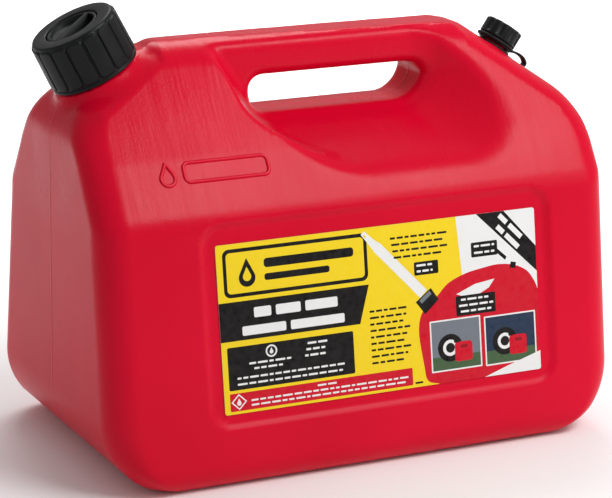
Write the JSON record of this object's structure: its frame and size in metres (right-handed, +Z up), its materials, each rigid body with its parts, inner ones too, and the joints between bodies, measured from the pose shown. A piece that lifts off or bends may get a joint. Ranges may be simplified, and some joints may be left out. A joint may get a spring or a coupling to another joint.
{
  "type": "jerry can",
  "caption": "Blow-moulded plastic fuel can with a carrying handle, ribbed screw ring over a stowed pouring spout, tethered vent cap and printed labels.",
  "frame": {"origin": "centre of the flat base, on the surface that the can stands on", "axes": "+X along the can to the vent end, -X to the spout end, -Y to the front label, +Z up"},
  "size_m": [0.3419, 0.2054, 0.274],
  "materials": {
    "can_body": "satin moulded polyethylene",
    "black_plastic": "satin moulded polypropylene",
    "soft_black_plastic": "flexible moulded polyethylene",
    "natural_spout": "milky flexible polyethylene",
    "seal_rubber": "matte nitrile",
    "printed_label": "printed film"
  },
  "bodies": {
    "can": {"can_body": "can_body", "vent_tether": "soft_black_plastic", "front_label": "printed_label", "back_label": "printed_label"},
    "spout": {"pour_spout": "natural_spout", "spout_seal": "seal_rubber"},
    "stopper": {"stopper_disc": "black_plastic", "stopper_seal": "seal_rubber"},
    "ring": {"spout_ring": "black_plastic"},
    "vent_washer": {"vent_seal": "seal_rubber"},
    "vent": {"vent_cap": "black_plastic"}
  },
  "joints": [
    {"name": "spout_draw", "type": "slide", "parent": "can", "child": "spout", "axis": [-0.454, 0, 0.891], "range_m": [0, 0.2]},
    {"name": "stopper_lift", "type": "slide", "parent": "spout", "child": "stopper", "axis": [-0.454, 0, 0.891], "range_m": [0, 0.007]},
    {"name": "ring_turn", "type": "hinge", "parent": "stopper", "child": "ring", "pos_m": [-0.134, 0, 0.2322], "axis": [-0.454, 0, 0.891], "range_deg": [0, 630]},
    {"name": "vent_lift", "type": "slide", "parent": "can", "child": "vent_washer", "axis": [0.5736, 0, 0.8192], "range_m": [0, 0.0044]},
    {"name": "vent_turn", "type": "hinge", "parent": "vent_washer", "child": "vent", "pos_m": [0.1303, 0, 0.2253], "axis": [0.5736, 0, 0.8192], "range_deg": [0, 720]}
  ],
  "couplings": [
    {"joint": "ring_turn", "follows": "stopper_lift", "rad_per_m": 1570.8},
    {"joint": "vent_turn", "follows": "vent_lift", "rad_per_m": 2855.9}
  ]
}
